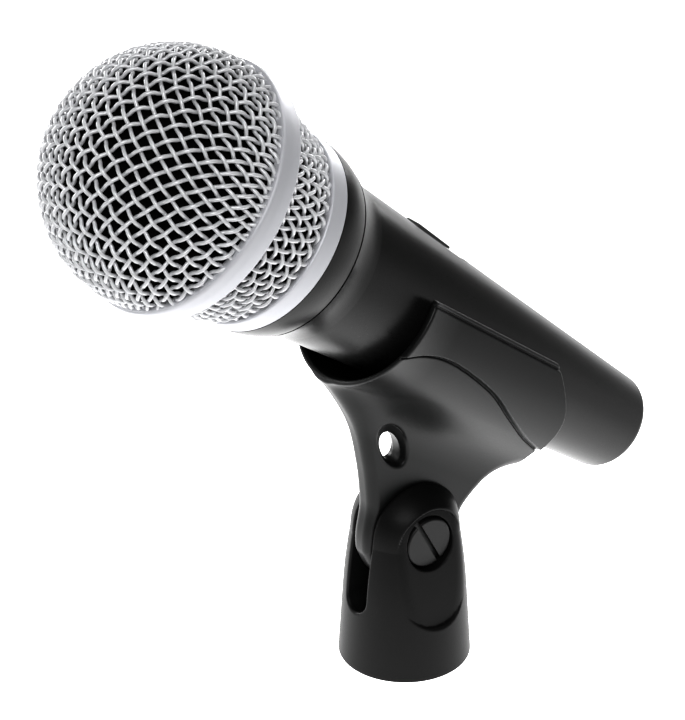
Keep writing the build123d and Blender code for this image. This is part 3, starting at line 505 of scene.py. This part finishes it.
def skin(name, field, node, body, slot):
    """The surface where a field of distances is zero, as a piece in place of a CAD node."""
    low, high = (np.array(corner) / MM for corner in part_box(node))
    low = low - 2 * GRID
    axes = [np.arange(a, b + 2 * GRID, GRID) for a, b in zip(low, high)]
    layers = np.array_split(axes[0], max(1, len(axes[0]) // LAYER_ROWS))
    values = np.concatenate([field(x[:, None, None], axes[1][:, None], axes[2]) for x in layers])
    inside = values < 0
    stride = np.array((values.shape[1] * values.shape[2], values.shape[2], 1))
    cells, crossings = [], []
    for axis in range(3):
        first = np.argwhere(np.diff(inside, axis=axis))
        second = first.copy()
        second[:, axis] += 1
        here, there = values[tuple(first.T)], values[tuple(second.T)]
        crossing = first.astype(float)
        crossing[:, axis] += here / (here - there)
        b, c = stride[(axis + 1) % 3], stride[(axis + 2) % 3]
        flat = first @ stride
        loop = np.stack((flat, flat - b, flat - b - c, flat - c), axis=1)
        loop[here > 0] = loop[here > 0][:, ::-1]
        cells.append(loop)
        crossings.append(crossing)
    cells, crossings = np.concatenate(cells), np.concatenate(crossings)
    used, faces = np.unique(cells, return_inverse=True)
    faces = faces.reshape(-1, 4)
    share = np.bincount(faces.ravel(), minlength=len(used))
    points = np.column_stack([
        np.bincount(faces.ravel(), weights=np.repeat(crossings[:, k], 4)) / share for k in range(3)
    ])
    points = low + points * GRID
    for _ in range(3):
        value, gradient = slope_of(field, points)
        steep = np.maximum(np.sum(gradient ** 2, axis=1), LEAST_STEEPNESS)
        move = gradient * (value / steep)[:, None]
        points = points - np.clip(move, -GRID / 2, GRID / 2)
    gradient = slope_of(field, points)[1]
    piece = new_piece(name, points, faces.tolist(), body, slot, [node])
    piece.data.normals_split_custom_set_from_vertices(
        (gradient / np.linalg.norm(gradient, axis=1, keepdims=True)).tolist())


# ---------------------------------------------------------------- clip

TAPER = 0.0623             # handle's taper, on radius
HANDLE_RADIUS = 16.27      # handle's radius at 88 mm behind the tip
SADDLE_FRONT = 85.4
SADDLE_DROP = 1.6          # saddle's axis below the microphone's axis
SADDLE_CLEARANCE = 1.03
SADDLE_WALL = 1.45
FLARE_END = 96.0
LIP_BORE = 18.6
LIP_WALL = 1.3
PANEL_STEP = 0.6
STEP_LINE = curve_through([(84, -9.6), (92, -5.8), (101, -4.7), (115, -6.2), (126, -9.3), (137, -12.0),
                           (150, -13.6)])
TOP_START = (80.0, 4.7)
TOP_RISE = 2.0 / 80
REAR_LINE = curve_through([(126.0, 10.0), (131.1, 5.75), (139.6, -3.05), (143.0, -12.0), (147.5, -20.0)])
PIVOT = 31.5
NECK_HALF = 3.1
NECK_ROUNDING = 2.3
TONGUE_RADIUS = 12.1
TONGUE_BLEND = 3.0
LIP_BLEND = 2.0            # fillet between saddle and neck at the lip
BLEND_GROWTH = 7.0         # what that fillet gains behind the lip
BLEND_RUN = 18             # length over which it gains it
PANEL_EASE = 0.4           # width of the step up to the side panel
SEAM_DOWN, SEAM_WIDTH, SEAM_DEPTH = 0.1, 0.24, 0.45
GROOVE_DOWN, GROOVE_WIDTH, GROOVE_DEPTH = 1.0, 0.26, 0.45
TOP_ROUNDING = 0.45
FRONT_ROUNDING = 0.9
EDGE_ROUNDING = 0.5
BORE_ROUNDING = 0.3
REAR_STEEPNESS = 0.9       # turns a distance along the axis into one square to the rear line
HOLE_AXES = ((0.43, -0.9), (0.9, 0.43))       # along and across the oval hole, in X and Z
HOLE_BORE = (-5.2, 53.6, 4.4, 2.3)           # centre's X and Z, half length, half width
HOLE_MOUTH = (-5.7, 54.9, 6.1, 3.25)
HOLE_CHAMFER = 1.7
PIVOT_BORE = 2.5


def beside(back, up):
    """X and Z of a point beside the microphone's axis."""
    point = in_frame(np.array([(back, up, 0.0)]))[0]
    return point[0], point[2]


def saddle_bore(back):
    """Radius of the saddle's bore, about its own axis, without the front flare."""
    return HANDLE_RADIUS - TAPER * (back - 88) + SADDLE_CLEARANCE


NECK_OUTLINE = np.concatenate((
    curve_through([(-10.9, 30.0), (-11.1, 40.0), (-12.2, 51.0), (-15.0, 62.3), beside(85.8, -21.1)]),
    [beside(91.4, -12.0), beside(140.0, -12.0)],
    curve_through([beside(145.6, -15.7), (20.3, 37.6), (14.6, 33.0), (11.2, 27.5)]),
    [(0.0, 24.0)],
))


def neck_hole(x, y, z):
    """Distance into the neck's oval hole, which widens like a funnel at both faces."""
    share = np.clip((np.abs(y) - NECK_HALF) / HOLE_CHAMFER + 1, 0, 1)
    centre_x, centre_z, length, width = (
        bore + share * (mouth - bore) for bore, mouth in zip(HOLE_BORE, HOLE_MOUTH))
    dx, dz = x - centre_x, z - centre_z
    lengthwise = dx * HOLE_AXES[0][0] + dz * HOLE_AXES[0][1]
    across = dx * HOLE_AXES[1][0] + dz * HOLE_AXES[1][1]
    return (1 - np.hypot(lengthwise / length, across / width)) * width


def clip_field(x, y, z):
    """Distance to the clip's surface: a saddle blended into its neck and tongue."""
    back, up = in_mic(x, y, z)
    radius = np.hypot(up + SADDLE_DROP, y)
    flare = (np.maximum(FLARE_END - back, 0) / (FLARE_END - SADDLE_FRONT)) ** 2
    bore = saddle_bore(back) + flare * (LIP_BORE - saddle_bore(SADDLE_FRONT))
    wall = SADDLE_WALL + flare * (LIP_WALL - SADDLE_WALL)
    over_edge = (up - TOP_START[1] - TOP_RISE * (back - TOP_START[0])) / np.hypot(1, TOP_RISE)
    over_step = up - np.interp(back, *STEP_LINE.T)
    panel = PANEL_STEP * ease(over_step / PANEL_EASE)
    seam = SEAM_DEPTH * np.exp(-((over_step + SEAM_DOWN) / SEAM_WIDTH) ** 2)
    groove = GROOVE_DEPTH * np.exp(-((over_edge + GROOVE_DOWN) / GROOVE_WIDTH) ** 2)
    shell = radius - (bore + wall + panel - seam - groove)
    shell = smooth_max(shell, over_edge, TOP_ROUNDING)
    outline = outline_distance(x, z, NECK_OUTLINE)
    tongue = np.hypot(x, z - PIVOT) - TONGUE_RADIUS
    neck = rounded_slab(smooth_min(outline, tongue, TONGUE_BLEND), np.abs(y) - NECK_HALF, NECK_ROUNDING)
    body = smooth_min(shell, neck, LIP_BLEND + BLEND_GROWTH * ease((back - SADDLE_FRONT) / BLEND_RUN))
    body = smooth_max(body, bore - radius, EDGE_ROUNDING)
    body = smooth_max(body, SADDLE_FRONT - back, FRONT_ROUNDING)
    past_rear = REAR_STEEPNESS * (back - np.interp(-up, -REAR_LINE[:, 1], REAR_LINE[:, 0]))
    body = smooth_max(body, past_rear, EDGE_ROUNDING)
    body = smooth_max(body, neck_hole(x, y, z), EDGE_ROUNDING)
    return smooth_max(body, PIVOT_BORE - np.hypot(x, z - PIVOT), BORE_ROUNDING)


skin("clip_moulding", clip_field, "clip_body", "clip", "clip_plastic")

# ---------------------------------------------------------------- stand adapter

BASE_RADIUS = 14.92
BASE_TAPER = 0.0646
EAR_RADIUS = 12.7          # ball about the pivot that rounds both ears
FORK_HALF = 3.4
FORK_FLOOR = 14.5
FLAT_AT_PIVOT = 9.3
FLAT_SLOPE = 0.19
FLAT_RADIUS = 8.0
FLAT_BOTTOM = 20.5
HEAD_SEAT = 6.4
HEAD_RECESS = 6.1
NUT_SEAT = 5.4
NUT_RECESS = 4.1
BRASS_RADIUS = 9.6
BRASS_HEIGHT = 12.2
FOOT_ROUNDING = 0.7
EAR_BLEND = 2.5
EAR_SPREAD = 0.25          # how fast the ball opens out below the pivot
SLOT_ROUNDING = 0.8
POCKET_ROUNDING = 0.9
BRASS_SEAT_ROUNDING = 0.2


def adapter_field(x, y, z):
    """Distance to the adapter's surface: a tapered fork with a slanted flat on each ear."""
    lift = z - PIVOT
    high = np.maximum(lift, 0)
    low = np.minimum(lift, 0)
    radius = np.hypot(x, y)
    body = smooth_max(radius - BASE_RADIUS + BASE_TAPER * z, -z, FOOT_ROUNDING)
    ball = np.sqrt(radius ** 2 + high ** 2) - EAR_RADIUS + EAR_SPREAD * low
    body = smooth_max(body, ball, EAR_BLEND)
    slot = np.hypot(y, np.minimum(z - FORK_FLOOR - FORK_HALF, 0)) - FORK_HALF
    body = smooth_max(body, -slot, SLOT_ROUNDING)
    past = z - np.clip(z, FLAT_BOTTOM, PIVOT)
    pocket = np.hypot(x, past) - FLAT_RADIUS
    for facing in (-1, 1):
        outside = (facing * y - FLAT_AT_PIVOT + FLAT_SLOPE * lift) / np.hypot(1, FLAT_SLOPE)
        body = smooth_max(body, np.minimum(-pocket, outside), POCKET_ROUNDING)
    beside_pivot = np.hypot(x, lift)
    body = smooth_max(body, PIVOT_BORE - beside_pivot, BORE_ROUNDING)
    body = smooth_max(body, np.minimum(HEAD_RECESS - beside_pivot, -HEAD_SEAT - y), BORE_ROUNDING)
    hexagon = np.maximum.reduce(np.broadcast_arrays(
        *(np.abs(lift * cos(turn) + x * sin(turn)) for turn in (0, pi / 3, -pi / 3))))
    body = smooth_max(body, np.minimum(NUT_RECESS - hexagon, y - NUT_SEAT), BORE_ROUNDING)
    return smooth_max(body, np.minimum(BRASS_RADIUS - radius, BRASS_HEIGHT - z), BRASS_SEAT_ROUNDING)


skin("adapter_moulding", adapter_field, "stand_adapter", "adapter", "adapter_plastic")

# ---------------------------------------------------------------- brass thread

THREAD_RADIUS = 7.45       # crest of the internal thread
THREAD_DEPTH = 0.5
THREAD_PITCH = 0.94


def thread_grid(turns=96, rows=104):
    """Points and faces of the insert: a plain outside and a helical thread inside."""
    angle = np.linspace(0, 2 * pi, turns, endpoint=False)[:, None]
    height = np.linspace(0, BRASS_HEIGHT, rows)[None, :]
    phase = (height / THREAD_PITCH - angle / (2 * pi)) % 1
    inner = THREAD_RADIUS + THREAD_DEPTH * (1 - np.abs(2 * phase - 1))
    inner = inner + np.maximum(0.8 - height, 0)
    loop_radius = np.concatenate((inner, np.full((turns, 2), BRASS_RADIUS)), axis=1)
    loop_height = np.concatenate((height[0], (BRASS_HEIGHT, 0.0)))
    points = np.stack((loop_radius * np.cos(angle), loop_radius * np.sin(angle),
                       np.broadcast_to(loop_height, loop_radius.shape)), axis=-1)
    index = np.arange(loop_radius.size).reshape(turns, -1)
    around, up = np.roll(index, -1, axis=0), np.roll(index, -1, axis=1)
    faces = np.stack((index, around, np.roll(around, -1, axis=1), up), axis=-1)
    return points.reshape(-1, 3), faces.reshape(-1, 4).tolist()


brass = new_piece("brass_thread", *thread_grid(), "adapter", "brass", ["thread_insert"], 30)
turn_outward(brass)

# ---------------------------------------------------------------- stage, light and camera

CAMERA_AZIMUTH = -34.92
CAMERA_ELEVATION = 26.72
CAMERA_ROLL = -0.34
CAMERA_DISTANCE = 550.53
CAMERA_TARGET = np.array((-15.11, 2.04, 76.14))
CAMERA_LENS = 130.8
# Painted light: the floor emits a strong pool of light close under the microphone, which stands in for a
# spotlight, washes out the contact shadow and brightens the undersides, and a broad pool behind it that
# whitens the backdrop and shows in the clip's reflections.
PAINTED_LIGHT_POOLS = (               # centre, inner and outer reach in metres, strength inside and outside
    ((0.02, 0.03, 0.0), 0.04, 0.2, 1.7, 0.0),
    ((0.25, 0.36, 0.0), 0.3, 0.8, 0.9, 0.15),
)
FLOOR_RADIUS = 6.0
SOFTBOX_SIZE = 0.75
WORLD_STRENGTH = 0.08
DISPLAY_GAMMA = 0.78
SOFTBOXES = (                 # name, azimuth, elevation, distance in metres, size, watts
    ("key", -35, 42, 1.3, SOFTBOX_SIZE, 10.5),
    ("rear_left", -170, 8, 1.3, SOFTBOX_SIZE, 14),
    ("left", -125, 8, 1.3, SOFTBOX_SIZE, 4),
    ("rim", 120, 15, 0.9, 0.35, 3),
    ("rear_right", 100, 55, 1.3, SOFTBOX_SIZE, 5),
)


def directions(azimuth, elevation):
    """Unit vectors towards a viewer, to the viewer's right and up."""
    a, e = radians(azimuth), radians(elevation)
    back = np.array((sin(a) * cos(e), -cos(a) * cos(e), sin(e)))
    right = np.array((cos(a), sin(a), 0.0))
    return back, right, np.cross(back, right)


back, right, up = directions(CAMERA_AZIMUTH, CAMERA_ELEVATION)
roll = radians(CAMERA_ROLL)
rolled_right = right * cos(roll) + up * sin(roll)
rolled_up = up * cos(roll) - right * sin(roll)
camera_data = bpy.data.cameras.new("camera")
camera_data.lens = CAMERA_LENS
camera_data.clip_start = 0.01
camera = bpy.data.objects.new("camera", camera_data)
place = np.eye(4)
place[:3, 0] = rolled_right
place[:3, 1] = rolled_up
place[:3, 2] = back
place[:3, 3] = (CAMERA_TARGET + back * CAMERA_DISTANCE) * MM
camera.matrix_world = Matrix(place.tolist())
bpy.context.scene.collection.objects.link(camera)
bpy.context.scene.camera = camera

floor_material = finish("floor", (0.7, 0.7, 0.7), 0.9, mottle=0.005, grain=0.02, specular=0.1)
floor_nodes = floor_material.node_tree.nodes
floor_link = floor_material.node_tree.links.new
floor_place = floor_nodes.new("ShaderNodeTexCoord")
# The floor's emission strength is painted light, the sum of the pools of light listed above, and is
# strongest right under the microphone.
painted_light_sum = floor_nodes.new("ShaderNodeMath")
for socket, (centre, reach_in, reach_out, strength, rest) in zip(painted_light_sum.inputs, PAINTED_LIGHT_POOLS):
    distance = floor_nodes.new("ShaderNodeVectorMath")
    distance.operation = "DISTANCE"
    distance.inputs[1].default_value = centre
    glow = floor_nodes.new("ShaderNodeMapRange")
    glow.interpolation_type = "SMOOTHSTEP"
    glow.inputs["From Min"].default_value = reach_in
    glow.inputs["From Max"].default_value = reach_out
    glow.inputs["To Min"].default_value = strength
    glow.inputs["To Max"].default_value = rest
    floor_link(floor_place.outputs["Object"], distance.inputs[0])
    floor_link(distance.outputs["Value"], glow.inputs["Value"])
    floor_link(glow.outputs["Result"], socket)
floor_shader = floor_nodes["Principled BSDF"]
floor_shader.inputs["Emission Color"].default_value = (1, 1, 1, 1)
floor_link(painted_light_sum.outputs["Value"], floor_shader.inputs["Emission Strength"])
floor_mesh = bpy.data.meshes.new("floor")
floor_shape = bmesh.new()
bmesh.ops.create_circle(floor_shape, cap_ends=True, segments=96, radius=FLOOR_RADIUS)
floor_shape.to_mesh(floor_mesh)
floor_shape.free()
floor_mesh.materials.append(floor_material)
floor = bpy.data.objects.new("floor", floor_mesh)
bpy.context.scene.collection.objects.link(floor)


def softbox(name, azimuth, elevation, distance, size, power):
    """A square soft light that faces the microphone."""
    light = bpy.data.lights.new(name, "AREA")
    light.shape = "SQUARE"
    light.size = size
    light.energy = power
    lamp = bpy.data.objects.new(name, light)
    aim = Vector(CAMERA_TARGET) * MM
    towards = Vector(directions(azimuth, elevation)[0])
    lamp.location = aim + towards * distance
    lamp.rotation_euler = towards.to_track_quat("Z", "Y").to_euler()
    bpy.context.scene.collection.objects.link(lamp)


for settings in SOFTBOXES:
    softbox(*settings)

world = bpy.data.worlds.new("studio")
world.use_nodes = True
world.node_tree.nodes["Background"].inputs["Color"].default_value = (1, 1, 1, 1)
world.node_tree.nodes["Background"].inputs["Strength"].default_value = WORLD_STRENGTH
bpy.context.scene.world = world
bpy.context.scene.view_settings.view_transform = "Standard"
bpy.context.scene.view_settings.gamma = DISPLAY_GAMMA
